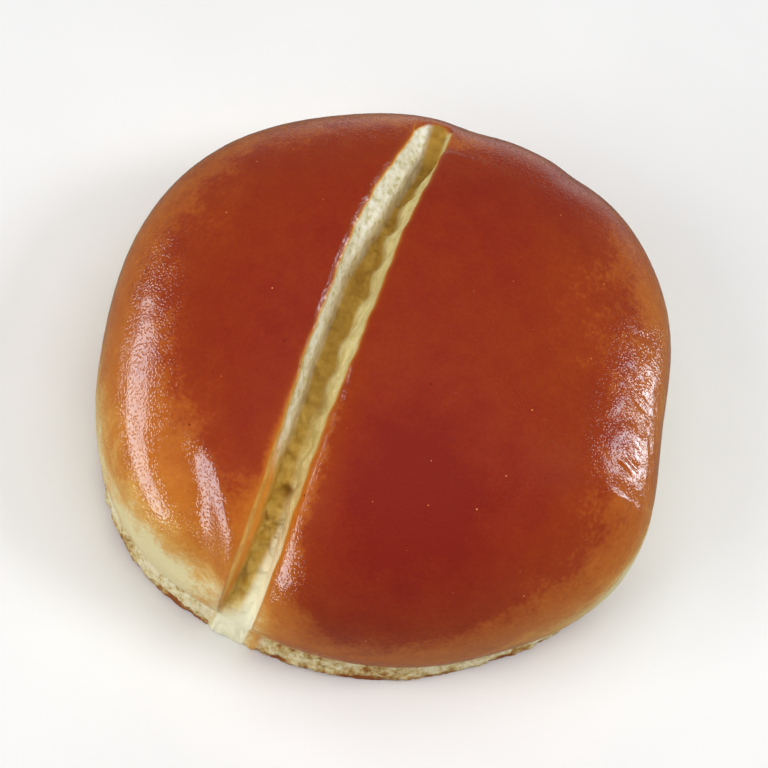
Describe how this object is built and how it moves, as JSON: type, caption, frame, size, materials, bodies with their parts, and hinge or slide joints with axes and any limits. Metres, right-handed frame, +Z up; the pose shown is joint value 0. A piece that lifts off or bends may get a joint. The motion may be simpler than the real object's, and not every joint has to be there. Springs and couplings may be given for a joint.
{
  "type": "potato bun",
  "caption": "Round split-top potato bun: a glossy brown domed crown over a narrower foot, with a lengthwise cut that shows pale crumb and a flat base to stand on.",
  "frame": {"origin": "middle of the flat base, under the centre of the bun's outline", "axes": "+Z up; +X across the cut, to the right in the picture; +Y along the cut, away from the viewer"},
  "size_m": [0.098, 0.0954, 0.0453],
  "materials": {
    "crust": "satin"
  },
  "bodies": {
    "root": {"bun": "crust"}
  },
  "joints": []
}
